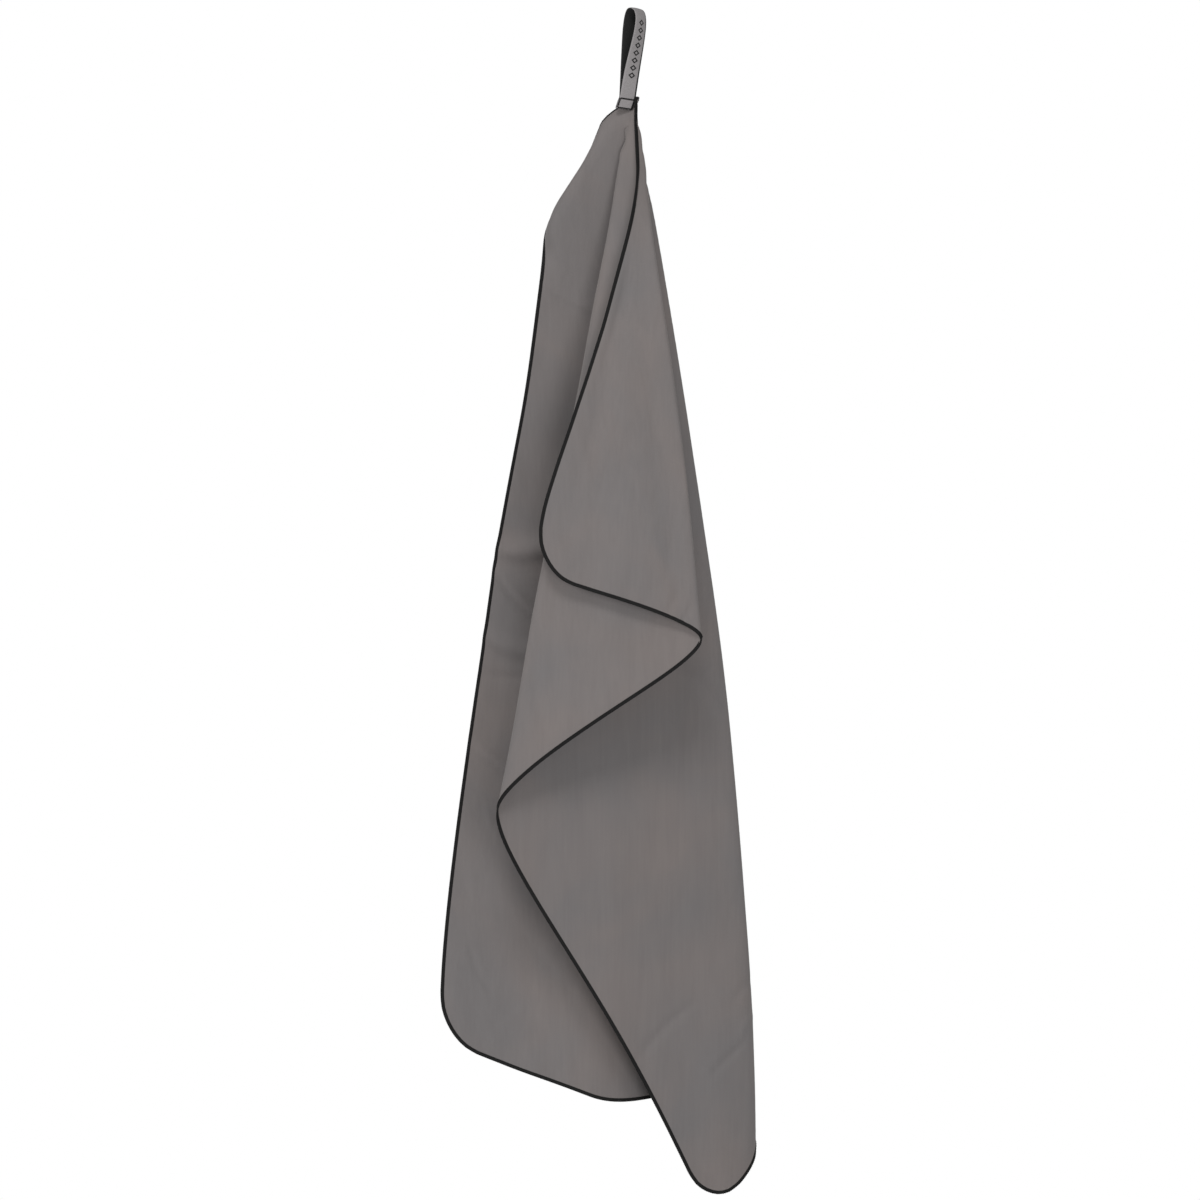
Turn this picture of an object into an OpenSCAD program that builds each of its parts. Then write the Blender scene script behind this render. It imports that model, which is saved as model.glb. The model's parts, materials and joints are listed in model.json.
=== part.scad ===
// Quick dry towel hung from one corner by a sewn loop of woven tape.
// Frame: millimetres, +Z up, seen from -Y, origin at the inside of the loop's top, where a hook bears.
//
// The cloth is a flat rectangle with rounded corners, swung from its hanging corner as rays. A ray
// keeps its flat distance from the corner, but for a small take-up; only its direction changes. Five
// guides (the short edge, three folds and the long edge) say how far the cloth leans left and back at
// each distance, and the rays between two guides share their leans.

/* [Towel] */
// Length of the short sides of the flat towel
towel_w = 600; // [560:5:620]
// Length of the long sides of the flat towel
towel_l = 1200; // [1150:5:1220]
// Radius of the four rounded corners
corner_r = 55; // [40:1:60]
// Thickness of the cloth
cloth_t = 1; // [0.8:0.1:1.2]
// Radius at which the cloth turns over in a fold
fold_r = 13; // [9:1:15]

/* [Overlocked edge] */
// Width of the stitched edge on each face
edge_w = 4.5; // [3:0.5:6]
// Thickness of the stitched edge, cloth included
edge_t = 2.2; // [1.8:0.1:2.6]
// How far the threads stand out past the cut edge
edge_out = 0.6; // [0.3:0.1:1]

/* [Hanging loop] */
// Width of the woven tape
tape_w = 20; // [18:0.5:22]
// Thickness of the woven tape
tape_t = 1.2; // [1:0.1:1.4]
// Inside height of the loop, from the stitch line to its top
loop_h = 105; // [95:1:110]
// Inside depth of the loop at its widest
loop_d = 28; // [24:1:30]
// Turn of the loop about the vertical
loop_turn = 23; // [15:1:30]
// Lean of the loop towards its right
loop_lean = 6; // [3:0.5:8]
// Height of the sewn ends below the stitch line
end_h = 14; // [12:1:16]
// Slant of the sewn ends towards the left
end_slant = 14; // [8:1:18]
// Clearance from the stitch line up to the free loop
loop_gap = 0.6; // [0.4:0.1:1]
// Clearance from the stitch line down to the sewn ends, so that they clear the loop at a right angle
end_gap = 2.5; // [2.4:0.1:3]

/* [Hidden] */

// Where the rays meet: the flat towel's hanging corner before it is rounded
hang_corner = [-3.6, -3, -92];

// Angle of each guide on the flat towel, from the short edge to the long edge
guide_angle = [0, 26, 46.5, 67.5, 90];

// Share of its length that the cloth loses at each guide to ripples too small to draw
take_up = [0, 0, 0, 0.005, 0.021];

// Trim of every lean back, which brings the towel's centre of mass under the stitch line
balance = -0.31;

// Each guide's path: [distance from the corner, lean left, lean back], in mm and degrees
short_edge = [[0, -3, -14], [90, -3, -14], [130, 7, -9], [170, 13, -5], [250, 16, -5],
              [330, 17.5, -4.5], [440, 19.5, -4.5], [500, 17, -4.5], [570, 2, -5]];
front_fold = [[0, -12.5, -10], [120, -12.5, -10], [300, -11.2, -8], [400, -10.2, -6], [500, -8, -5],
              [600, -5, -4], [700, -2.5, -4]];
middle_fold = [[0, 16, -5], [120, 16, -5], [200, 14.5, -5], [300, 13.2, -5], [600, 12.8, -5],
               [650, 10.5, -4], [850, 10, -1], [900, 12.5, 0], [1300, 12.5, 4]];
right_fold = [[0, -14, 4], [60, -14, 6], [90, -20, 5.5], [115, -24, 5], [140, -20, 5], [170, -16, 4.5],
              [215, -13.2, 4], [250, -12.8, 3], [290, -11.5, 2.5], [390, -10, 1.5], [600, -9.5, 1],
              [800, -6.2, 2], [1000, -5.1, 3], [1150, -3, 3.5], [1300, -0.5, 4]];
long_edge = [[0, 32.5, -2], [160, 32.5, 2], [215, 7, 8], [350, 7.5, 9], [450, 11, 12], [560, 10.5, 13],
             [660, 8, 9], [760, 8.4, -4], [900, 7.5, -11], [1000, 6.5, -10], [1200, 3, -9]];
guides = [short_edge, front_fold, middle_fold, right_fold, long_edge];

// Mesh of the cloth: rays across the corner's 90 degrees, points along each ray
rays = 64;
rings = 30;
// Step along a ray when its leans are summed
ray_step = 20;
ray_steps = ceil(norm([towel_w, towel_l]) / ray_step);

// Widest that any fold may be and narrowest that each may be, as angles at the hanging corner
fold_angle_max = 10;
fold_angle_min = [4.5, 2.6, 2.6];

// Stitches of the sewn ends
stitch_in = 1.6;
stitch_w = 0.9;
stitch_t = 0.4;

// Half of the room between the two sewn ends, which the cloth's corner fills
end_apart = cloth_t / 2;
// Steps along one strand of the loop
loop_steps = 14;

function lerp(a, b, u) = a + (b - a) * u;
function unit(v) = v / norm(v);
function clamp(x, low, high) = min(max(x, low), high);
function column(table, k) = [for (row = table) [row[0], row[k]]];

// [lean left, lean back] of every guide at distance s
function leans(s) = [for (g = guides) [lookup(s, column(g, 1)), lookup(s, column(g, 2)) + balance]];
step_leans = [for (i = [0 : ray_steps - 1]) leans((i + 0.5) * ray_step)];

// How wide fold k, of radius fold_r, is at distance s, as an angle
function fold_angle(s, k) = clamp(90 * fold_r / s, fold_angle_min[k], fold_angle_max);

// Straight line through the guides' leans, its corners rounded over the fold's angle
function slope(lean, k) = (lean[k + 1] - lean[k]) / (guide_angle[k + 1] - guide_angle[k]);
function ramp(x, w) = (x + sqrt(x * x + w * w / 4)) / 2;
function bend(lean, angle, s, k) =
    (slope(lean, k + 1) - slope(lean, k)) * ramp(angle - guide_angle[k + 1], fold_angle(s, k));
function ray_lean(lean, angle, s) =
    lean[0] + slope(lean, 0) * angle
    + bend(lean, angle, s, 0) + bend(lean, angle, s, 1) + bend(lean, angle, s, 2);

// Step of a ray at its i-th stretch, as a share of its flat length
function ray_direction(angle, i) =
    let (lean = ray_lean(step_leans[i], angle, (i + 0.5) * ray_step))
    let (kept = 1 - lookup(angle, [for (k = [0 : 4]) [guide_angle[k], take_up[k]]]))
    kept * [-sin(lean[0]) * cos(lean[1]), sin(lean[1]), -cos(lean[0]) * cos(lean[1])];

// Points of one ray at every step, summed from the corner
function ray_path(angle) =
    [for (i = 0, p = hang_corner; i <= ray_steps;
          p = p + ray_step * (i < ray_steps ? ray_direction(angle, i) : [0, 0, 0]), i = i + 1) p];
function on_ray(path, r) =
    let (i = min(floor(r / ray_step), ray_steps - 1))
    lerp(path[i], path[i + 1], r / ray_step - i);

// Where a ray enters the flat towel, past the rounded hanging corner
function ray_start(angle) = corner_r * (cos(angle) + sin(angle) - sqrt(2 * cos(angle) * sin(angle)));

// Where a ray leaves the flat towel, by a side or round a corner
function past_corner(angle, centre) =
    let (along = centre[0] * cos(angle) + centre[1] * sin(angle))
    along + sqrt(max(along * along - centre * centre + corner_r * corner_r, 0));
function ray_end(angle) =
    let (side = min(towel_w / max(cos(angle), 0.001), towel_l / max(sin(angle), 0.001)))
    let (x = side * cos(angle), y = side * sin(angle))
    let (far_x = x > towel_w - corner_r, far_y = y > towel_l - corner_r)
    far_x && y < corner_r ? past_corner(angle, [towel_w - corner_r, corner_r])
    : far_x && far_y ? past_corner(angle, [towel_w - corner_r, towel_l - corner_r])
    : x < corner_r && far_y ? past_corner(angle, [corner_r, towel_l - corner_r])
    : side;

// The draped cloth's middle surface, as points[ray][ring], and its normals
cloth_points = [for (j = [0 : rays])
    let (angle = 90 * j / rays)
    let (path = ray_path(angle), start = ray_start(angle), end = ray_end(angle))
    [for (i = [0 : rings]) on_ray(path, lerp(start, end, i / rings))]];
function cloth_normal(j, i) =
    let (along = cloth_points[j][min(i + 1, rings)] - cloth_points[j][max(i - 1, 0)])
    let (across = cloth_points[min(j + 1, rays)][i] - cloth_points[max(j - 1, 0)][i])
    unit(cross(along, across));
cloth_normals = [for (j = [0 : rays]) [for (i = [0 : rings]) cloth_normal(j, i)]];

// The towel's edge, once round: along the short edge, the far rim, the long edge and the near rim
rim = concat(
    [for (i = [0 : rings - 1]) [0, i]],
    [for (j = [0 : rays - 1]) [j, rings]],
    [for (i = [rings : -1 : 1]) [rays, i]],
    [for (j = [rays : -1 : 1]) [j, 0]]);
rim_n = len(rim);
function rim_point(k) = let (at = rim[(k + rim_n) % rim_n]) cloth_points[at[0]][at[1]];
function rim_normal(k) = let (at = rim[(k + rim_n) % rim_n]) cloth_normals[at[0]][at[1]];
function rim_inward(k) = unit(cross(rim_normal(k), rim_point(k + 1) - rim_point(k - 1)));

module towel_cloth() {
    row = rings + 1;
    layer = (rays + 1) * row;
    faces_out = [for (j = [0 : rays - 1], i = [0 : rings - 1])
        let (a = j * row + i) each [[a, a + 1, a + row + 1], [a, a + row + 1, a + row]]];
    faces_in = [for (f = faces_out) [f[2] + layer, f[1] + layer, f[0] + layer]];
    rim_index = [for (at = rim) at[0] * row + at[1]];
    faces_rim = [for (k = [0 : rim_n - 1])
        let (a = rim_index[k], b = rim_index[(k + 1) % rim_n])
        each [[b, a, a + layer], [b, a + layer, b + layer]]];
    half = cloth_t / 2;
    color("dimgray")
    polyhedron(
        points = [for (side = [1, -1], j = [0 : rays], i = [0 : rings])
            cloth_points[j][i] + side * half * cloth_normals[j][i]],
        faces = concat(faces_out, faces_in, faces_rim));
}

module edge_overlock() {
    half = edge_t / 2;
    profile = [[-edge_out, -half], [edge_w, -half], [edge_w, half], [-edge_out, half]];
    sides = len(profile);
    color("black")
    polyhedron(
        points = [for (k = [0 : rim_n - 1], p = profile)
            rim_point(k) + p[0] * rim_inward(k) + p[1] * rim_normal(k)],
        faces = [for (k = [0 : rim_n - 1], s = [0 : sides - 1])
            let (a = k * sides, b = ((k + 1) % rim_n) * sides, t = (s + 1) % sides)
            each [[a + s, b + s, b + t], [a + s, b + t, a + t]]]);
}

// Places what is drawn about the stitch line's middle, X along the tape's width, -Y its front
module at_stitch_line() {
    rotate([0, 0, loop_turn])
    rotate([0, loop_lean, 0])
    translate([0, 0, -loop_h])
    children();
}

// Inside of the loop: a strand swells from the stitch line to half the depth, then rounds over the top
function strand(u) = [
    lerp(cloth_t / 2, loop_d / 2, sin(min(u * 1.4, 1) * 90)) * sqrt(1 - pow(max(2 * u - 1, 0), 4)),
    loop_h * (u + 0.12 * sin(180 * u))];
loop_side = [for (i = [0 : loop_steps]) strand(i / loop_steps)];

module loop_outline() {
    polygon(concat(
        [for (p = loop_side) p],
        [for (i = [loop_steps - 1 : -1 : 0]) [-loop_side[i][0], loop_side[i][1]]]));
}

module loop_tape() {
    color("silver")
    at_stitch_line()
    rotate([90, 0, 90])
    linear_extrude(tape_w, center = true)
    difference() {
        offset(delta = tape_t) loop_outline();
        loop_outline();
        translate([-tape_w, -tape_w + loop_gap]) square([2 * tape_w, tape_w]);
    }
}

// Outline of a sewn end, slanted left as it goes down and drawn in by margin on every side
module end_outline(margin = 0) {
    shift = tan(end_slant);
    top = end_gap + margin;
    bottom = end_h - margin;
    x = tape_w / 2 - margin;
    polygon([[-x - top * shift, -top], [x - top * shift, -top],
             [x - bottom * shift, -bottom], [-x - bottom * shift, -bottom]]);
}

// Stands a flat outline up on one face of the towel: side 1 is the back, -1 the front
module on_face(side, depth, thickness) {
    at_stitch_line()
    translate([0, side > 0 ? depth + thickness : -depth, 0])
    rotate([90, 0, 0])
    linear_extrude(thickness)
    children();
}

module loop_end_front() {
    color("silver") on_face(-1, end_apart, tape_t) end_outline();
}

module loop_end_back() {
    color("silver") on_face(1, end_apart, tape_t) end_outline();
}

module box_stitch() {
    color("black")
    for (side = [-1, 1])
        on_face(side, end_apart + tape_t, stitch_t)
        difference() {
            end_outline(stitch_in);
            end_outline(stitch_in + stitch_w);
        }
}

towel_cloth();
edge_overlock();
loop_tape();
loop_end_front();
loop_end_back();
box_stitch();
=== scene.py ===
"""A quick dry towel hung from its loop: simulated cloth, overlocked edge, woven loop and its stitching.

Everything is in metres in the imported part's frame: +Z up, seen from -Y, origin at the inside of the
loop's top. The towel is laid out flat, swung into its hung folds, relaxed by Blender's Cloth and then
edged with thread that follows the relaxed cloth.
"""
import json
import math

import bpy
import numpy as np
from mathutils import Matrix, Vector


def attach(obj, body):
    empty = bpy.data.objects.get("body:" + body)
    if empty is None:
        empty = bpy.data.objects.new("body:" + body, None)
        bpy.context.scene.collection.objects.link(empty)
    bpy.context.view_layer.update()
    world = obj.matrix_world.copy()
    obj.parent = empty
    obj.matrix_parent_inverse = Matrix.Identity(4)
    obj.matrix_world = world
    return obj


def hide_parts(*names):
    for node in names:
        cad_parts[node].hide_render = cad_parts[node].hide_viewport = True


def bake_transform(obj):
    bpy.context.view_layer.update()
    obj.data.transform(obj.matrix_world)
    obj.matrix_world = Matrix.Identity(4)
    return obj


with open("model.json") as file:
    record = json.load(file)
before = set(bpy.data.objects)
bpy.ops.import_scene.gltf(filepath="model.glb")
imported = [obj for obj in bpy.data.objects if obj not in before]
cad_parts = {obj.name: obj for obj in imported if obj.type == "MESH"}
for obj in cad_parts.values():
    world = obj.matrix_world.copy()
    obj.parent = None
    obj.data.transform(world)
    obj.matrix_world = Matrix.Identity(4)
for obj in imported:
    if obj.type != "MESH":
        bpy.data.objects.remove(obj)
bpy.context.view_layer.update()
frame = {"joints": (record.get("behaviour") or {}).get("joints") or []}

# ---- Sizes, repeated from the part's source ----------------------------------------------------

TOWEL_W = 0.600
TOWEL_L = 1.200
CORNER_R = 0.055
CLOTH_T = 0.001
FOLD_R = 0.013
EDGE_T = 0.0022
EDGE_OUT = 0.0006
TAPE_W = 0.020
TAPE_T = 0.0012
END_H = 0.014
END_GAP = 0.0025
END_SLANT = math.radians(14)

# Hung shape: guides are [mm from the hanging corner, degrees leaning left, degrees leaning back]
HANG_CORNER = np.array([-0.0036, -0.003, -0.092])
GUIDE_ANGLE = [0, 26, 46.5, 67.5, 90]
TAKE_UP = [0, 0, 0, 0.005, 0.021]
BALANCE = -0.31
SHORT_EDGE = [[0, -3, -14], [90, -3, -14], [130, 7, -9], [170, 13, -5], [250, 16, -5],
              [330, 17.5, -4.5], [440, 19.5, -4.5], [500, 17, -4.5], [570, 2, -5]]
FRONT_FOLD = [[0, -12.5, -10], [120, -12.5, -10], [300, -11.2, -8], [400, -10.2, -6], [500, -8, -5],
              [600, -5, -4], [700, -2.5, -4]]
MIDDLE_FOLD = [[0, 16, -5], [120, 16, -5], [200, 14.5, -5], [300, 13.2, -5], [600, 12.8, -5],
               [650, 10.5, -4], [850, 10, -1], [900, 12.5, 0], [1300, 12.5, 4]]
RIGHT_FOLD = [[0, -14, 4], [60, -14, 6], [90, -20, 5.5], [115, -24, 5], [140, -20, 5], [170, -16, 4.5],
              [215, -13.2, 4], [250, -12.8, 3], [290, -11.5, 2.5], [390, -10, 1.5], [600, -9.5, 1],
              [800, -6.2, 2], [1000, -5.1, 3], [1150, -3, 3.5], [1300, -0.5, 4]]
LONG_EDGE = [[0, 32.5, -2], [160, 32.5, 2], [215, 7, 8], [350, 7.5, 9], [450, 11, 12], [560, 10.5, 13],
             [660, 8, 9], [760, 8.4, -4], [900, 7.5, -11], [1000, 6.5, -10], [1200, 3, -9]]
GUIDES = [np.array(g, float) for g in (SHORT_EDGE, FRONT_FOLD, MIDDLE_FOLD, RIGHT_FOLD, LONG_EDGE)]
FOLD_ANGLE_MAX = 10.0
FOLD_ANGLE_MIN = [4.5, 2.6, 2.6]
RAY_STEP = 0.010

# The stitch line's own axes: across the tape, up the loop and out of its front
hinge = frame["joints"][0]
STITCH_LINE = np.array(hinge["pos_m"])
TAPE_ACROSS = np.array(hinge["axis"]) / np.linalg.norm(hinge["axis"])
LOOP_H = np.linalg.norm(STITCH_LINE)
LOOP_UP = -STITCH_LINE / LOOP_H
TAPE_FRONT = np.cross(TAPE_ACROSS, LOOP_UP)

# ---- Mesh helpers ------------------------------------------------------------------------------


def unit(v):
    """Vectors scaled to length one."""
    return v / np.maximum(np.linalg.norm(v, axis=-1, keepdims=True), 1e-12)


def smoothstep(x, low, high):
    """0 below low, 1 above high and a smooth ramp between them."""
    t = np.clip((x - low) / (high - low), 0, 1)
    return t * t * (3 - 2 * t)


def grid_faces(rows, columns, wrap_rows=False, wrap_columns=False):
    """Quads of a grid of points numbered row by row, joined round where it wraps."""
    r = np.arange(rows if wrap_rows else rows - 1)[:, None]
    c = np.arange(columns if wrap_columns else columns - 1)[None, :]
    below, beside = (r + 1) % rows, (c + 1) % columns
    quad = [r * columns + c, below * columns + c, below * columns + beside, r * columns + beside]
    return np.stack([q.ravel() for q in quad], 1)


def new_piece(name, points, faces, smooth=True):
    """A mesh object of quads, linked to the scene."""
    points = np.asarray(points, float).reshape(-1, 3)
    mesh = bpy.data.meshes.new(name)
    mesh.from_pydata(points.tolist(), [], np.asarray(faces).tolist())
    mesh.polygons.foreach_set("use_smooth", [smooth] * len(mesh.polygons))
    mesh.update()
    obj = bpy.data.objects.new(name, mesh)
    bpy.context.scene.collection.objects.link(obj)
    return obj


def add_uv(obj, name, places):
    """Gives every point of a piece its own (u, v), in metres along the material."""
    layer = obj.data.uv_layers.new(name=name)
    vertex = np.zeros(len(obj.data.loops), int)
    obj.data.loops.foreach_get("vertex_index", vertex)
    layer.data.foreach_set("uv", np.asarray(places).reshape(-1, 2)[vertex].astype(np.float32).ravel())


def tube(path, normal, radius, sides, closed):
    """Points and faces of a round thread along a path, its ends capped by shrinking when it is open."""
    ahead, behind = np.roll(path, -1, 0), np.roll(path, 1, 0)
    if not closed:
        ahead[-1], behind[0] = path[-1], path[0]
    tangent = unit(ahead - behind)
    side = unit(np.cross(tangent, normal))
    up = np.cross(side, tangent)
    turn = np.linspace(0, 2 * math.pi, sides, endpoint=False)
    reach = np.full(len(path), radius)
    if not closed:
        reach[[0, -1]] = radius * 0.25
    ring = np.cos(turn)[None, :, None] * side[:, None] + np.sin(turn)[None, :, None] * up[:, None]
    points = path[:, None] + reach[:, None, None] * ring
    return points, grid_faces(len(path), sides, wrap_rows=closed, wrap_columns=True)


def joined(parts):
    """Several (points, faces) pairs as one."""
    points, faces, first = [], [], 0
    for p, f in parts:
        p = p.reshape(-1, 3)
        points.append(p)
        faces.append(f + first)
        first += len(p)
    return np.concatenate(points), np.concatenate(faces)


# ---- Cloth: flat cut and hung folds ------------------------------------------------------------

# Cells of the simulated cloth: across its width, along its length between the corners, round a corner
CELLS_ACROSS = 75
CELLS_ALONG = 136
CELLS_CORNER = 5


def flat_cloth():
    """Flat places of the cloth's points, as rows by columns by (across, along)."""
    turn = np.radians(np.linspace(0, 90, CELLS_CORNER + 1))
    corner = CORNER_R * (1 - np.cos(turn))
    middle = np.linspace(CORNER_R, TOWEL_L - CORNER_R, CELLS_ALONG + 1)
    along = np.concatenate([corner[:-1], middle, (TOWEL_L - corner[:-1])[::-1]])
    drop = np.clip(CORNER_R - np.minimum(along, TOWEL_L - along), 0, None)
    inset = CORNER_R - np.sqrt(CORNER_R ** 2 - drop ** 2)
    share = np.linspace(0, 1, CELLS_ACROSS + 1)
    across = inset[:, None] + (TOWEL_W - 2 * inset)[:, None] * share[None, :]
    return np.stack([across, np.repeat(along[:, None], CELLS_ACROSS + 1, 1)], -1)


def polar(flat):
    """Distance in metres and angle in degrees of flat places about the hanging corner."""
    return np.hypot(flat[..., 0], flat[..., 1]), np.degrees(np.arctan2(flat[..., 1], flat[..., 0]))


def guide_leans(distance):
    """Lean left and lean back of every guide, in degrees, at a distance from the hanging corner."""
    mm = distance * 1000
    left = [np.interp(mm, g[:, 0], g[:, 1]) for g in GUIDES]
    back = [np.interp(mm, g[:, 0], g[:, 2]) + BALANCE for g in GUIDES]
    return left, back


def between_guides(leans, angle, distance):
    """Straight lines through the guides' leans, each corner rounded over the fold's angle there."""
    slope = np.diff(leans) / np.diff(GUIDE_ANGLE)
    found = leans[0] + slope[0] * angle
    for k in range(1, len(slope)):
        x = angle - GUIDE_ANGLE[k]
        width = min(max(90 * FOLD_R / distance, FOLD_ANGLE_MIN[k - 1]), FOLD_ANGLE_MAX)
        found = found + (slope[k] - slope[k - 1]) * (x + np.sqrt(x * x + width * width / 4)) / 2
    return found


def hang(flat):
    """Where flat points lie once the cloth hangs in its folds: a sum of short steps down each ray."""
    distance, angle = polar(flat.reshape(-1, 2))
    kept = 1 - np.interp(angle, GUIDE_ANGLE, TAKE_UP)
    place = np.tile(HANG_CORNER, (distance.size, 1))
    for start in np.arange(0, distance.max(), RAY_STEP):
        middle = start + RAY_STEP / 2
        left, back = guide_leans(middle)
        left = np.radians(between_guides(left, angle, middle))
        back = np.radians(between_guides(back, angle, middle))
        way = np.stack([-np.sin(left) * np.cos(back), np.sin(back), -np.cos(left) * np.cos(back)], 1)
        place += (kept * np.clip(distance - start, 0, RAY_STEP))[:, None] * way
    return place.reshape(flat.shape[:-1] + (3,))


# Depth that each fold opens to on either side of its crest, growing with distance from the loop
FOLD_DEPTH = 0.0035


def opened(points, flat):
    """The hung cloth with a round crest on every fold: forward on the loop edge's side, back beyond it."""
    distance, angle = polar(flat)
    depth = np.zeros(distance.shape)
    for middle, narrowest in zip(GUIDE_ANGLE[1:4], FOLD_ANGLE_MIN):
        half = np.clip(90 * FOLD_R / distance, narrowest, FOLD_ANGLE_MAX) / 2
        off = angle - middle
        depth += FOLD_DEPTH * off / np.sqrt(off ** 2 + half ** 2)
    return points + (depth * smoothstep(distance, 0.06, 0.25))[..., None] * np.array([0.0, 1.0, 0.0])


# ---- Cloth: waves, creases and simulation ------------------------------------------------------

# Soft waves: [middle angle, half width in degrees, grows from, to, fades from, to (mm), mm forward]
FOR_GOOD = 2000
WAVES = [
    [79, 9, 300, 560, 780, 980, -20],
    [80, 5.5, 800, 1150, FOR_GOOD, FOR_GOOD + 1, 15],
    [73.5, 3.5, 650, 1180, FOR_GOOD, FOR_GOOD + 1, -12],
    [86, 4, 250, 500, 900, 1150, 5],
    [57, 6, 700, 1150, FOR_GOOD, FOR_GOOD + 1, 9],
    [36, 7, 350, 700, FOR_GOOD, FOR_GOOD + 1, 6],
    [13, 8, 250, 560, FOR_GOOD, FOR_GOOD + 1, 7],
    [5, 3, 120, 300, 420, 560, -4],
    [84, 5, 430, 500, 520, 590, 7],
    [82, 5, 560, 640, 660, 740, -6],
    [85, 4, 690, 760, 780, 850, 5],
]

# Pressed creases: [from mm, from degrees, to mm, to degrees, width (mm), height (mm)]
CREASES = [
    [262, 90, 272, 78, 5, -1.6],
    [395, 84, 430, 77, 6, -1.2],
    [600, 90, 535, 82, 11, -7.0],
    [615, 90, 670, 83, 9, -6.0],
    [705, 90, 690, 83, 10, -5.0],
    [748, 89.5, 724, 84, 4, 2.0],
    [835, 89.5, 850, 84, 10, -5.0],
    [1075, 88.3, 1130, 86.2, 5, 1.3],
    [545, 3.6, 592, 5.5, 8, -2.5],
    [905, 88, 940, 86.5, 4, -1.0],
    [690, 25.5, 722, 29, 5, -1.8],
    [655, 20.5, 622, 23.2, 5, -1.6],
    [640, 18, 600, 22, 6, -1.0],
    [1150, 59, 1088, 62.5, 6, -1.5],
    [1180, 63.5, 1150, 66, 5, -1.4],
    [690, 62, 760, 66, 7, 2.0],
    [705, 64, 690, 66.5, 5, 1.2],
    [1095, 65.2, 1080, 67.6, 7, -0.9],
    [1140, 65.6, 1126, 67.6, 7, 0.8],
]


def waves(flat):
    """How far forward each flat place is carried by the soft waves, in metres."""
    distance, angle = polar(flat)
    total = np.zeros(distance.shape)
    for middle, half, start, full, fade, gone, forward in WAVES:
        across = np.cos(np.clip((angle - middle) / half, -1, 1) * math.pi / 2) ** 2
        along = smoothstep(distance * 1000, start, full) * (1 - smoothstep(distance * 1000, fade, gone))
        total += forward * 0.001 * across * along
    return total


def creases(flat):
    """Height of the pressed creases over the cloth, in metres: each fades out towards its two ends."""
    total = np.zeros(flat.shape[:-1])
    for mm_0, angle_0, mm_1, angle_1, width, height in CREASES:
        start, end = [0.001 * mm * np.array([math.cos(math.radians(a)), math.sin(math.radians(a))])
                      for mm, a in ((mm_0, angle_0), (mm_1, angle_1))]
        length = np.linalg.norm(end - start)
        way = (end - start) / length
        beside = np.array([-way[1], way[0]])
        along = (flat - start) @ way / length
        off = (flat - start) @ beside / (0.001 * width)
        bend = off - 0.8 * np.sin(math.pi * along)
        fade = smoothstep(along, -0.15, 0.25) * (1 - smoothstep(along, 0.75, 1.15))
        total += 0.001 * height * np.exp(-bend ** 2) * fade
    return total


# Near the loop the long edge rolls behind the towel: the width rolled, its radius, the distances down
# the edge where the roll starts, is full, slackens and ends, and how fast its pull spreads inwards
ROLL_W = 0.017
ROLL_R = 0.0055
ROLL_FROM = 0.012
ROLL_FULL = 0.040
ROLL_LESS = 0.115
ROLL_TO = 0.265
ROLL_SPREAD = 0.20

# The cloth's edge is gathered outwards and upwards by this much beside the sewn corner
SEWN_OUT = 0.010
SEWN_UP = 0.003

# The hem is caught up behind the right-hand panel: middle angle, half width, mm lifted, from mm
HEM_LIFT = [72, 8, 50, 950]


def rolled(points, flat):
    """The cloth with its long edge rolled to the back near the loop, its outline kept where it was."""
    edge = flat[..., 0] - flat[:, :1, 0]
    down = flat[..., 1]
    strength = smoothstep(down, ROLL_FROM, ROLL_FULL) * (1 - smoothstep(down, ROLL_LESS, ROLL_TO))
    strength = np.maximum(strength, 1e-4)[..., None]
    base = np.stack([[np.interp(ROLL_W, edge[r], points[r, :, k]) for k in range(3)]
                     for r in range(len(points))])[:, None]
    outward = points[:, :1] - base
    reach = np.linalg.norm(outward, axis=-1, keepdims=True)
    out = outward / reach
    back = unit(np.array([0.0, 1.0, 0.0]) - out * out[..., 1:2])
    past = np.clip(ROLL_W - edge, 0, None)[..., None]
    radius = ROLL_R / strength
    width = reach + (np.minimum(reach, ROLL_W) - reach) * strength
    whole_turn = width / radius
    turn = whole_turn * past / ROLL_W
    arc = base + out * radius * np.sin(turn) + back * radius * (1 - np.cos(turn))
    lost = reach - radius * np.sin(np.minimum(whole_turn, math.pi / 2))
    spread = 1 - smoothstep(edge, ROLL_W, ROLL_W + 0.004 + ROLL_SPREAD * down)[..., None]
    sewn = (1 - smoothstep(down, 0.035, 0.12))[..., None]
    gathered = sewn * (1 - smoothstep(edge, 0, ROLL_W))[..., None]
    return (np.where(past > 0, arc, points) + spread * out * lost
            + gathered * (out * SEWN_OUT + np.array([0.0, 0.0, SEWN_UP])))


def hem_lifted(points, flat):
    """The cloth with its hem drawn up where it is caught behind the right-hand panel."""
    middle, half, lift, start = HEM_LIFT
    distance, angle = polar(flat)
    across = np.cos(np.clip((angle - middle) / half, -1, 1) * math.pi / 2) ** 2
    rise = 0.001 * lift * across * smoothstep(distance * 1000, start, 1250)
    return points + rise[..., None] * np.array([0.0, 0.35, 0.94])


# Cloth simulation: its length, how firmly the hung shape is held, and how far a point may move
SIM_FRAMES = 24
SIM_GRAVITY = 0.3
HELD_INSIDE = 0.30
HELD_RIM = 0.60
HELD_CREST = 0.90
MOST_MOVE = 0.006
SMOOTHING = 16


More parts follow.
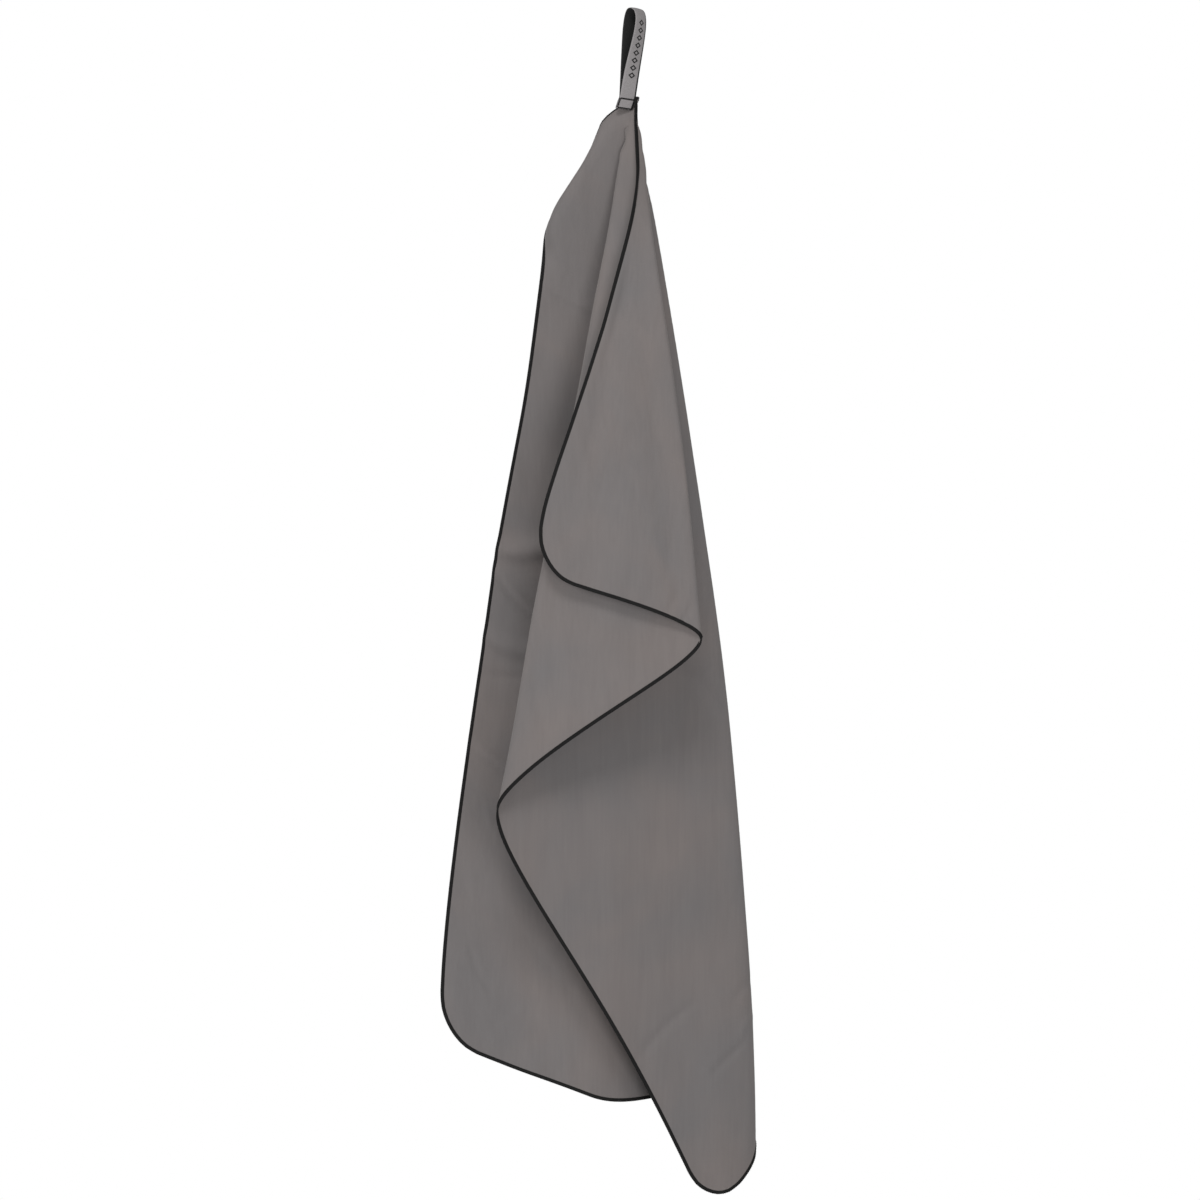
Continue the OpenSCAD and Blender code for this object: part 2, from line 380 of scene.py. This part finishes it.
def hold_weights(flat):
    """How firmly each point keeps its hung place: wholly at the sewn corner, least inside the panels."""
    distance, angle = polar(flat)
    rim = np.minimum.reduce([flat[..., 0], TOWEL_W - flat[..., 0], flat[..., 1], TOWEL_L - flat[..., 1]])
    held = HELD_RIM + (HELD_INSIDE - HELD_RIM) * smoothstep(rim, 0.0, 0.06)
    crest = HELD_CREST * np.exp(-((angle - GUIDE_ANGLE[3]) / 3) ** 2)
    sewn = 1 - smoothstep(distance, 0.05, 0.11)
    return np.maximum.reduce([held, crest, sewn])


def run_cloth(hung, flat):
    """Blender's Cloth on the hung points, its rest lengths taken from the flat cut."""
    rows, columns = flat.shape[:2]
    obj = new_piece("cloth_simulation", hung, grid_faces(rows, columns))
    obj.shape_key_add(name="hung")
    cut = obj.shape_key_add(name="flat_cut")
    laid = np.concatenate([flat, np.zeros(flat.shape[:-1] + (1,))], -1)
    cut.data.foreach_set("co", laid.astype(np.float32).ravel())
    cut.value = 0.0
    group = obj.vertex_groups.new(name="held")
    for i, weight in enumerate(hold_weights(flat).ravel()):
        group.add([i], float(weight), "REPLACE")
    cloth = obj.modifiers.new("Cloth", "CLOTH")
    settings = cloth.settings
    settings.vertex_group_mass = "held"
    settings.rest_shape_key = cut
    settings.quality = 8
    settings.mass = 0.3
    settings.air_damping = 4.0
    settings.tension_stiffness = 40
    settings.compression_stiffness = 6
    settings.shear_stiffness = 10
    settings.bending_stiffness = 8
    settings.tension_damping = 20
    settings.compression_damping = 20
    settings.shear_damping = 10
    settings.bending_damping = 2
    settings.effector_weights.gravity = SIM_GRAVITY
    collision = cloth.collision_settings
    collision.use_self_collision = True
    collision.self_distance_min = 0.003
    collision.self_friction = 5
    collision.collision_quality = 2
    cloth.point_cache.frame_start = 1
    cloth.point_cache.frame_end = SIM_FRAMES
    scene = bpy.context.scene
    scene.frame_start = 1
    scene.frame_end = SIM_FRAMES
    for n in range(1, SIM_FRAMES + 1):
        scene.frame_set(n)
    evaluated = obj.evaluated_get(bpy.context.evaluated_depsgraph_get())
    found = np.zeros(rows * columns * 3)
    evaluated.to_mesh().vertices.foreach_get("co", found)
    evaluated.to_mesh_clear()
    scene.frame_set(1)
    mesh = obj.data
    bpy.data.objects.remove(obj)
    bpy.data.meshes.remove(mesh)
    return found.reshape(hung.shape)


def smoothed(grid, passes):
    """A grid of vectors averaged with its neighbours, which takes out waves as small as the cells."""
    for _ in range(passes):
        for axis in (0, 1):
            padding = [(0, 0)] * grid.ndim
            padding[axis] = (1, 1)
            wide = np.pad(grid, padding, mode="edge")
            before = np.take(wide, range(0, grid.shape[axis]), axis)
            after = np.take(wide, range(2, grid.shape[axis] + 2), axis)
            grid = (before + 2 * grid + after) / 4
    return grid


def relaxed(hung, flat):
    """The hung cloth moved as the simulation moved it, but never further than MOST_MOVE."""
    move = smoothed(run_cloth(hung, flat) - hung, SMOOTHING)
    length = np.linalg.norm(move, axis=-1, keepdims=True)
    move = move / np.sqrt(1 + (length / MOST_MOVE) ** 2)
    free = smoothstep(polar(flat)[0], 0.05, 0.11)
    return hung + move * free[..., None]


def twice_as_fine(grid):
    """A grid with a new row and column between each two, on a smooth curve through its points."""
    for axis in (0, 1):
        grid = np.moveaxis(grid, axis, 0)
        first, last = 2 * grid[:1] - grid[1:2], 2 * grid[-1:] - grid[-2:-1]
        wide = np.concatenate([first, grid, last])
        between = (9 * (wide[1:-2] + wide[2:-1]) - wide[:-3] - wide[3:]) / 16
        fine = np.zeros((2 * len(grid) - 1,) + grid.shape[1:])
        fine[0::2] = grid
        fine[1::2] = between
        grid = np.moveaxis(fine, 0, axis)
    return grid


def surface_normals(points):
    """Unit normals of a grid of points, on the side that faces forward on the towel's front."""
    return unit(np.cross(np.gradient(points, axis=1), np.gradient(points, axis=0)))


def drape():
    """Flat places and final points of the towel's middle surface."""
    flat = flat_cloth()
    points = opened(hang(flat), flat)
    normals = surface_normals(points)
    forward = np.where(normals[..., 1:2] > 0, -1.0, 1.0)
    facing = smoothed(normals * forward, 8)
    points = points + waves(flat)[..., None] * facing
    points = hem_lifted(points, flat)
    points = relaxed(points, flat)
    flat, points = twice_as_fine(flat), twice_as_fine(points)
    points = rolled(points, flat)
    points = points + creases(flat)[..., None] * surface_normals(points)
    return flat, points


# ---- Overlocked edge ---------------------------------------------------------------------------

# Width of the stitching on each face, a little under that of the part's plain band
EDGE_W = 0.0037
STITCH_PITCH = 0.0026
BAND_PITCH = 0.003
THREAD_R = 0.00030
RIM_POINTS_PER_STITCH = 8


def sampled(grid, flat, places):
    """A grid's values at flat places inside the cloth, by bilinear steps over its cells."""
    rows, columns = flat.shape[:2]
    row = np.interp(places[:, 1], flat[:, 0, 1], np.arange(rows))
    left = np.interp(row, np.arange(rows), flat[:, 0, 0])
    right = np.interp(row, np.arange(rows), flat[:, -1, 0])
    column = np.clip((places[:, 0] - left) / (right - left), 0, 1) * (columns - 1)
    r, c = np.minimum(row.astype(int), rows - 2), np.minimum(column.astype(int), columns - 2)
    down, across = (row - r)[:, None], (column - c)[:, None]
    upper = grid[r, c] * (1 - across) + grid[r, c + 1] * across
    lower = grid[r + 1, c] * (1 - across) + grid[r + 1, c + 1] * across
    return upper * (1 - down) + lower * down


def rim_places(points, flat):
    """The towel's edge once round: its places, and the places one band's width inside it."""
    def once_round(grid):
        """The grid's outermost values in order round it, each corner once."""
        return np.concatenate([grid[0, :-1], grid[:-1, -1], grid[-1, :0:-1], grid[:0:-1, 0]])

    place, cut = once_round(points), once_round(flat)
    way = unit(np.roll(cut, -1, 0) - np.roll(cut, 1, 0))
    inner = sampled(points, flat, cut + EDGE_W * np.stack([-way[:, 1], way[:, 0]], 1))
    return place, inner


def evenly(rim, count):
    """Places, inward directions and front normals at count even distances round the rim."""
    closed = np.concatenate([rim[0], rim[0][:1]])
    distance = np.concatenate([[0], np.cumsum(np.linalg.norm(np.diff(closed, axis=0), axis=1))])
    at = np.linspace(0, distance[-1], count, endpoint=False)
    found = []
    for values in rim:
        looped = np.concatenate([values, values[:1]])
        found.append(np.stack([np.interp(at, distance, looped[:, k]) for k in range(3)], 1))
    place, inner = found
    tangent = unit(np.roll(place, -1, 0) - np.roll(place, 1, 0))
    inward = inner - place
    inward = unit(inward - (inward * tangent).sum(1, keepdims=True) * tangent)
    return place, inward, np.cross(inward, tangent)


def rim_length(place):
    """Distance once round the rim."""
    return np.linalg.norm(np.roll(place, -1, 0) - place, axis=1).sum()


def make_edge_band(rim):
    """The layer of laid thread that wraps the cut edge: flat on both faces and round outside."""
    count = int(rim_length(rim[0]) / BAND_PITCH)
    place, inward, normal = evenly(rim, count)
    half = EDGE_T / 2 - THREAD_R
    turn = np.radians(np.linspace(90, 270, 7))
    nose = [[EDGE_OUT * math.cos(t), half * math.sin(t)] for t in turn]
    front = [[EDGE_W, CLOTH_T * 0.45], [EDGE_W - 0.0004, half * 0.85], [EDGE_W * 0.5, half]]
    back = [[x, -y] for x, y in reversed(front)]
    profile = np.array(front + nose + back)
    points = (place[:, None] + profile[None, :, :1] * inward[:, None]
              + profile[None, :, 1:] * normal[:, None])
    obj = new_piece("overlock_band", points, grid_faces(count, len(profile), True, True))
    return obj


def make_looper_thread(name, rim, side):
    """One looper thread: it runs out from the needle line to the edge and back at every stitch."""
    stitches = int(rim_length(rim[0]) / STITCH_PITCH)
    count = stitches * RIM_POINTS_PER_STITCH
    place, inward, normal = evenly(rim, count)
    phase = 2 * math.pi * np.arange(count) / RIM_POINTS_PER_STITCH
    swing = (1 - np.cos(phase)) / 2
    reach = EDGE_W - 0.0002 - (EDGE_W - 0.0002 + EDGE_OUT) * swing
    half = EDGE_T / 2 - THREAD_R
    height = np.where(reach > 0, half, half * np.sqrt(np.clip(1 - (reach / (1.3 * EDGE_OUT)) ** 2, 0, 1)))
    path = place + reach[:, None] * inward + side * height[:, None] * normal
    points, faces = tube(path, normal + 0.3 * inward, THREAD_R, 5, True)
    return new_piece(name, points, faces)


def make_needle_thread(rim):
    """The needle's row of short stitches just inside the overlocked edge, on the front."""
    stitches = int(rim_length(rim[0]) / STITCH_PITCH)
    count = stitches * 4
    place, inward, normal = evenly(rim, count)
    raised = np.tile([0.1, 1.0, 1.0, 0.1], stitches)
    height = EDGE_T / 2 - THREAD_R + raised * THREAD_R
    path = place + (EDGE_W - 0.0009) * inward + height[:, None] * normal
    points, faces = tube(path, normal + 0.3 * inward, THREAD_R * 0.9, 5, True)
    return new_piece("overlock_needle_thread", points, faces)


# ---- Hanging loop ------------------------------------------------------------------------------

LOOP_D = 0.018
TWIST_FRONT, TWIST_BACK = math.radians(30), math.radians(8)
STRAND_STEPS = 44
TAPE_STEPS_ACROSS = 12


def from_stitch_line(across, back, up):
    """World places of points given about the stitch line, back being away from the tape's front."""
    return (STITCH_LINE + np.asarray(across)[..., None] * TAPE_ACROSS
            - np.asarray(back)[..., None] * TAPE_FRONT + np.asarray(up)[..., None] * LOOP_UP)


def strand(u):
    """Half depth and height of one side of the loop, from the stitch line at 0 to the top at 1."""
    swell = np.sin(np.minimum(1.4 * u, 1) * math.pi / 2)
    depth = (CLOTH_T / 2 + (LOOP_D / 2 - CLOTH_T / 2) * swell) * np.sqrt(1 - np.clip(2 * u - 1, 0, 1) ** 4)
    return depth, LOOP_H * (u + 0.12 * np.sin(math.pi * u))


def tape_path():
    """The tape's middle line as (back, up), from the front end's foot over the top to the back end's."""
    u = np.linspace(0, 1, STRAND_STEPS + 1)[1:]
    depth, up = strand(1 - (1 - u) ** 1.6)
    foot = np.linspace(-END_H, 0.0, 9)
    side = np.concatenate([np.stack([np.full(9, CLOTH_T / 2), foot], 1), np.stack([depth, up], 1)])
    side[-1, 0] = 0.0
    path = np.concatenate([side * [-1, 1], side[-2::-1]])
    tangent = unit(np.gradient(path, axis=0))
    outward = np.stack([-tangent[:, 1], tangent[:, 0]], 1)
    return path + outward * TAPE_T / 2, outward


def make_tape():
    """The woven strip: slanted sewn ends, two strands and a rounded top, twisting as it rises."""
    path, outward = tape_path()
    walked = np.concatenate([[0], np.cumsum(np.linalg.norm(np.diff(path, axis=0), axis=1))])
    share = np.linspace(-0.5, 0.5, TAPE_STEPS_ACROSS + 1)
    bulge = np.sqrt(np.clip(1 - (np.abs(share) * 2) ** 8, 0.12, 1)) * TAPE_T / 2
    outer = np.stack([share * TAPE_W, bulge], 1)
    inner = np.stack([share[::-1] * TAPE_W, -bulge[::-1]], 1)
    section = np.concatenate([outer, inner])
    crown = np.cos(share * math.pi)
    cup = 0.0006 * np.concatenate([crown, crown])
    free = smoothstep(path[:, 1], 0.004, 0.03)
    across = np.repeat(section[None, :, 0], len(path), 0)
    across = across + np.minimum(path[:, 1], 0)[:, None] * math.tan(END_SLANT)
    push = section[None, :, 1] + cup[None, :] * free[:, None]
    back = path[:, :1] + outward[:, :1] * push
    up = path[:, 1:] + outward[:, 1:] * push
    behind = smoothstep(path[:, 0], -LOOP_D / 2, LOOP_D / 2)
    twist = TWIST_FRONT + (TWIST_BACK - TWIST_FRONT) * behind
    turn = (twist * smoothstep(path[:, 1], 0.0, LOOP_H))[:, None]
    turned_across = across * np.cos(turn) - back * np.sin(turn)
    turned_back = across * np.sin(turn) + back * np.cos(turn)
    points = from_stitch_line(turned_across, turned_back, up)
    rows, columns = points.shape[:2]
    faces = grid_faces(rows, columns, wrap_columns=True).tolist()
    faces.append(list(range(columns)))
    faces.append([(rows - 1) * columns + k for k in reversed(range(columns))])
    mesh = bpy.data.meshes.new("loop_woven_tape")
    mesh.from_pydata(points.reshape(-1, 3).tolist(), [], faces)
    mesh.update()
    obj = bpy.data.objects.new("loop_woven_tape", mesh)
    bpy.context.scene.collection.objects.link(obj)
    uv = np.stack([np.repeat(section[None, :, 0], rows, 0), np.repeat(walked[:, None], columns, 1)], -1)
    add_uv(obj, "tape", uv)
    inside = TAPE_STEPS_ACROSS + 1
    for index, polygon in enumerate(mesh.polygons):
        column = index % columns
        polygon.use_smooth = True
        polygon.material_index = 1 if inside <= column < 2 * inside - 1 else 0
    return obj


# ---- Box stitching -----------------------------------------------------------------------------

SATIN_PITCH = 0.00062
SATIN_W = 0.0019
SATIN_R = 0.00026


def satin_row(start, end, side):
    """A close zigzag of thread on one sewn end, from start to end given as (across, up)."""
    start, end = np.array(start), np.array(end)
    length = np.linalg.norm(end - start)
    way = (end - start) / length
    beside = np.array([-way[1], way[0]])
    turns = int(length / SATIN_PITCH) * 4
    step = np.arange(turns + 1)
    sway = np.sin(step * math.pi / 2 + 0.001) * SATIN_W / 2
    lift = 0.55 + 0.45 * np.cos(step * math.pi)
    flat = start + np.outer(step / turns * length, way) + np.outer(sway, beside)
    height = CLOTH_T / 2 + TAPE_T + SATIN_R * (0.2 + lift)
    path = from_stitch_line(flat[:, 0], side * height, flat[:, 1])
    return tube(path, np.tile(-side * TAPE_FRONT, (len(path), 1)), SATIN_R, 5, False)


def make_box_stitch(name, side):
    """The stitched outline round one sewn end: front at side -1, back at side 1."""
    def place(x, up):
        """A place on the sewn end, which slants as it goes down."""
        return (x + up * math.tan(END_SLANT), up)

    reach = TAPE_W / 2 - SATIN_W * 0.45
    top = -END_GAP * 0.75
    foot = -END_H + SATIN_W * 0.45
    corners = [place(-reach, top), place(-reach, foot), place(reach, foot), place(reach, top)]
    rows = [satin_row(corners[k], corners[(k + 1) % 4], side) for k in range(4)]
    points, faces = joined(rows)
    return new_piece(name, points, faces)


# ---- Material nodes ----------------------------------------------------------------------------


class Nodes:
    """Short ways to add and join a material's nodes."""

    def __init__(self, name):
        self.material = bpy.data.materials.new(name)
        self.material.use_nodes = True
        self.tree = self.material.node_tree
        self.shader = self.tree.nodes["Principled BSDF"]

    def add(self, kind, inputs=None, **settings):
        """One shader node with its inputs fed and its settings made."""
        node = self.tree.nodes.new("ShaderNode" + kind)
        for key, value in settings.items():
            setattr(node, key, value)
        for key, value in (inputs or {}).items():
            self.feed(value, node.inputs[key])
        return node

    def feed(self, value, socket):
        """A value into a socket: a link from another socket, or else a constant."""
        if isinstance(value, bpy.types.NodeSocket):
            self.tree.links.new(value, socket)
        else:
            socket.default_value = value

    def math(self, operation, a, b=0.0):
        """One sum of two values."""
        return self.add("Math", {0: a, 1: b}, operation=operation).outputs[0]

    def noise(self, place, scale, detail=2.0, roughness=0.5, distortion=0.0):
        """Cloudy noise between 0 and 1."""
        return self.add("TexNoise", {"Vector": place, "Scale": scale, "Detail": detail,
                                     "Roughness": roughness, "Distortion": distortion}).outputs["Fac"]

    def bands(self, place, direction, scale, distortion):
        """Soft parallel yarns that follow each other in one direction."""
        return self.add("TexWave", {"Vector": place, "Scale": scale, "Distortion": distortion, "Detail": 1.0},
                        wave_type="BANDS", bands_direction=direction).outputs["Fac"]

    def stretched(self, place, scale):
        """A place with each of its axes scaled."""
        return self.add("Mapping", {"Vector": place, "Scale": scale}).outputs[0]

    def mix(self, share, a, b):
        """Colour a turned into colour b by a share."""
        node = self.add("Mix", data_type="RGBA")
        self.feed(share, node.inputs["Factor"])
        self.feed(a, node.inputs[6])
        self.feed(b, node.inputs[7])
        return node.outputs[2]

    def ramp(self, value, low, high):
        """Value from low to high brought to the range 0 to 1."""
        return self.add("MapRange", {"Value": value, "From Min": low, "From Max": high}).outputs[0]

    def bump(self, height, strength, distance):
        """Fine relief on the material's own surface."""
        node = self.add("Bump", {"Height": height, "Strength": strength, "Distance": distance})
        self.tree.links.new(node.outputs[0], self.shader.inputs["Normal"])

    def surface(self, **values):
        """Values for the shader's inputs, with underscores for the spaces in their names."""
        for key, value in values.items():
            self.feed(value, self.shader.inputs[key.replace("_", " ")])


def microfibre_material():
    """Suede-like microfibre: warm grey, brushed nap, faint lengthwise streaks and a soft sheen."""
    n = Nodes("microfibre")
    flat = n.add("UVMap", uv_map="flat").outputs[0]
    cloud = n.noise(flat, 7, 3, 0.5, 0.4)
    place = n.add("TexCoord").outputs["Object"]
    brushed = n.noise(n.stretched(place, (34, 34, 7)), 1, 4, 0.6, 0.6)
    streak = n.noise(n.stretched(place, (330, 330, 10)), 1, 3, 0.6)
    nap = n.noise(flat, 1500, 3, 0.7)
    warm, cool = (0.160, 0.142, 0.137, 1), (0.148, 0.139, 0.139, 1)
    colour = n.mix(n.ramp(cloud, 0.35, 0.65), warm, cool)
    dark = n.math("ADD", n.math("MULTIPLY", n.ramp(brushed, 0.3, 0.7), 0.07),
                  n.math("MULTIPLY", n.ramp(streak, 0.25, 0.75), 0.07))
    dark = n.math("ADD", dark, n.math("MULTIPLY", n.ramp(nap, 0.25, 0.75), 0.16))
    dark = n.math("ADD", dark, n.math("MULTIPLY", n.ramp(cloud, 0.3, 0.7), 0.06))
    light = n.math("SUBTRACT", 1.18, dark)
    tone = n.add("VectorMath", {0: colour, "Scale": light}, operation="SCALE").outputs[0]
    weave = n.math("MULTIPLY", n.noise(n.stretched(flat, (1600, 700, 1)), 1, 2, 0.6), 0.6)
    relief = n.math("ADD", weave, nap)
    n.surface(Base_Color=tone, Roughness=n.ramp(brushed, -3.2, 1.6), Sheen_Weight=0.30, Sheen_Roughness=0.45,
              Sheen_Tint=(0.75, 0.72, 0.70, 1), Specular_IOR_Level=0.15)
    n.bump(relief, 0.35, 0.0004)
    return n.material


def thread_material(name, shade, fibre_scale):
    """Matt twisted thread: dark, with fine fibres that catch a little light."""
    n = Nodes(name)
    place = n.add("TexCoord").outputs["Object"]
    fibre = n.noise(place, fibre_scale, 3, 0.7)
    worn = n.noise(place, 40, 2)
    dark = (shade, shade * 0.97, shade * 0.95, 1)
    pale = (shade * 3.2, shade * 3.1, shade * 3.0, 1)
    share = n.math("MULTIPLY", n.ramp(fibre, 0.45, 0.8), n.ramp(worn, 0.2, 0.8))
    n.surface(Base_Color=n.mix(share, dark, pale), Roughness=n.ramp(fibre, -1.2, 1.4),
              Sheen_Weight=0.05, Sheen_Roughness=0.4, Specular_IOR_Level=0.2)
    n.bump(fibre, 0.4, 0.0002)
    return n.material


DIAMOND_PITCH = 0.0090
DIAMOND_HALF_W = 0.0046
DIAMOND_HALF_L = 0.0038
DIAMOND_FIRST, DIAMOND_LAST = 4, 12


def tape_material(name, face, face_flecks, mark, backing, backing_from):
    """Woven tape: ribbed yarns, a row of plain diamonds up the front strand and a backing at one side."""
    n = Nodes(name)
    woven = n.add("UVMap", uv_map="tape").outputs[0]
    split = n.add("SeparateXYZ", {0: woven})
    across, along = split.outputs[0], split.outputs[1]
    cell = n.math("FRACT", n.math("DIVIDE", along, DIAMOND_PITCH))
    out = n.math("DIVIDE", n.math("ABSOLUTE", across), DIAMOND_HALF_W)
    from_middle = n.math("ABSOLUTE", n.math("SUBTRACT", cell, 0.5))
    down = n.math("DIVIDE", from_middle, DIAMOND_HALF_L / DIAMOND_PITCH)
    ring = n.math("ADD", out, down)
    solid = n.ramp(ring, 1.08, 0.92)
    hollow = n.ramp(ring, 0.52, 0.40)
    outline = n.math("SUBTRACT", solid, hollow)
    first, last = DIAMOND_FIRST * DIAMOND_PITCH, DIAMOND_LAST * DIAMOND_PITCH
    inside = n.math("MULTIPLY", n.math("GREATER_THAN", along, first), n.math("LESS_THAN", along, last))
    shown = n.math("MULTIPLY", outline, inside)
    rib = n.bands(woven, "Y", 210, 0.6)
    end_yarn = n.bands(woven, "X", 260, 0.4)
    fleck = n.noise(n.stretched(woven, (1500, 600, 1)), 1, 2, 0.7)
    ground = n.mix(n.ramp(fleck, 0.35, 0.7), face, face_flecks)
    ground = n.mix(shown, ground, mark)
    edge = n.ramp(across, backing_from, backing_from + 0.0003)
    ground = n.mix(edge, ground, backing)
    weave = n.math("ADD", n.math("MULTIPLY", rib, 0.6), n.math("MULTIPLY", end_yarn, 0.4))
    light = n.math("ADD", 0.86, n.math("MULTIPLY", weave, 0.24))
    tone = n.add("VectorMath", {0: ground, "Scale": light}, operation="SCALE").outputs[0]
    n.surface(Base_Color=tone, Roughness=n.ramp(fleck, -1.6, 1.4), Sheen_Weight=0.12,
              Sheen_Roughness=0.4, Specular_IOR_Level=0.25)
    n.bump(n.math("ADD", weave, n.math("MULTIPLY", shown, 0.5)), 0.6, 0.00025)
    return n.material


def floor_material():
    """Plain pale studio floor."""
    n = Nodes("studio_floor")
    tone = n.noise(n.add("TexCoord").outputs["Object"], 3, 2)
    colour = n.mix(n.ramp(tone, 0.3, 0.7), (0.86, 0.86, 0.86, 1), (0.90, 0.90, 0.90, 1))
    n.surface(Base_Color=colour, Roughness=0.8)
    return n.material


# ---- The towel ---------------------------------------------------------------------------------

flat, cloth_points = drape()
rim = rim_places(cloth_points, flat)

cloth = new_piece("towel_fabric", cloth_points, grid_faces(*cloth_points.shape[:2]))
add_uv(cloth, "flat", flat)
thickness = cloth.modifiers.new("Thickness", "SOLIDIFY")
thickness.thickness = CLOTH_T
thickness.offset = 0.0
cloth.data.materials.append(microfibre_material())

overlock = thread_material("overlock_thread", 0.0042, 2600)
edge_pieces = [
    make_edge_band(rim),
    make_looper_thread("overlock_looper_front", rim, 1),
    make_looper_thread("overlock_looper_back", rim, -1),
    make_needle_thread(rim),
]
for piece in edge_pieces:
    piece.data.materials.append(overlock)
    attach(piece, "towel")
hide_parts("edge_overlock")

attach(cloth, "towel")
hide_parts("towel_cloth")

tape = make_tape()
GREY, PALE_GREY, BLACK = (0.225, 0.212, 0.213, 1), (0.31, 0.295, 0.298, 1), (0.010, 0.010, 0.010, 1)
tape.data.materials.append(tape_material("tape_outside", GREY, PALE_GREY, BLACK, BLACK,
                                         TAPE_W / 2 - 0.0022))
tape.data.materials.append(tape_material("tape_inside", BLACK, (0.02, 0.02, 0.02, 1),
                                         (0.11, 0.105, 0.105, 1), BLACK, TAPE_W / 2))
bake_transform(tape)
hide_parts("loop_tape", "loop_end_front", "loop_end_back")

sewing = thread_material("sewing_thread", 0.0042, 3000)
stitch_pieces = [make_box_stitch("box_stitch_front", -1), make_box_stitch("box_stitch_rear", 1)]
for piece in stitch_pieces:
    piece.data.materials.append(sewing)
    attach(piece, "towel")
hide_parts("box_stitch")

# ---- Stage, light and camera -------------------------------------------------------------------

CAMERA_AWAY = 8.0
PICTURE_SPAN = 1.416
PICTURE_CENTRE = np.array([-0.0425, 0.0, -0.6968])
FLOOR_Z = -1.54
FLOOR_R = 1.4


def make_floor():
    """A pale disc below the hanging towel."""
    turn = np.linspace(0, 2 * math.pi, 96, endpoint=False)
    disc = [[FLOOR_R * math.cos(t), FLOOR_R * math.sin(t), FLOOR_Z] for t in turn]
    obj = new_piece("studio_floor", disc, [list(range(len(disc)))], smooth=False)
    obj.data.materials.append(floor_material())


def make_camera():
    """A long lens square on to the towel's front."""
    data = bpy.data.cameras.new("camera")
    data.sensor_width = 36
    data.lens = 36 * CAMERA_AWAY / PICTURE_SPAN
    data.clip_end = 100
    camera = bpy.data.objects.new("camera", data)
    camera.location = PICTURE_CENTRE - np.array([0, CAMERA_AWAY, 0])
    camera.rotation_euler = (math.radians(90), 0, 0)
    bpy.context.scene.collection.objects.link(camera)
    bpy.context.scene.camera = camera


def make_area_light(name, place, size, power):
    """A round soft light aimed at the towel's middle."""
    data = bpy.data.lights.new(name, "AREA")
    data.shape = "DISK"
    data.size = size
    data.energy = power
    light = bpy.data.objects.new(name, data)
    light.location = place
    light.rotation_euler = (Vector((0, 0, -0.7)) - Vector(place)).to_track_quat("-Z", "Y").to_euler()
    bpy.context.scene.collection.objects.link(light)


def make_world():
    """White behind the towel, and an even light of its own strength all round."""
    world = bpy.data.worlds.new("studio")
    world.use_nodes = True
    bpy.context.scene.world = world
    nodes, links = world.node_tree.nodes, world.node_tree.links
    nodes.clear()
    output = nodes.new("ShaderNodeOutputWorld")
    mix = nodes.new("ShaderNodeMixShader")
    path = nodes.new("ShaderNodeLightPath")
    backgrounds = []
    for strength in (0.40, 1.0):
        background = nodes.new("ShaderNodeBackground")
        background.inputs["Color"].default_value = (1, 1, 1, 1)
        background.inputs["Strength"].default_value = strength
        backgrounds.append(background)
    links.new(path.outputs["Is Camera Ray"], mix.inputs[0])
    links.new(backgrounds[0].outputs[0], mix.inputs[1])
    links.new(backgrounds[1].outputs[0], mix.inputs[2])
    links.new(mix.outputs[0], output.inputs["Surface"])


make_floor()
make_camera()
make_area_light("key", (-0.3, -2.6, 2.2), 1.2, 48)
make_area_light("side", (-2.6, -2.0, 0.4), 1.4, 34)
make_area_light("front", (0.7, -3.4, -1.2), 1.4, 46)
make_world()
bpy.context.scene.view_settings.view_transform = "Standard"
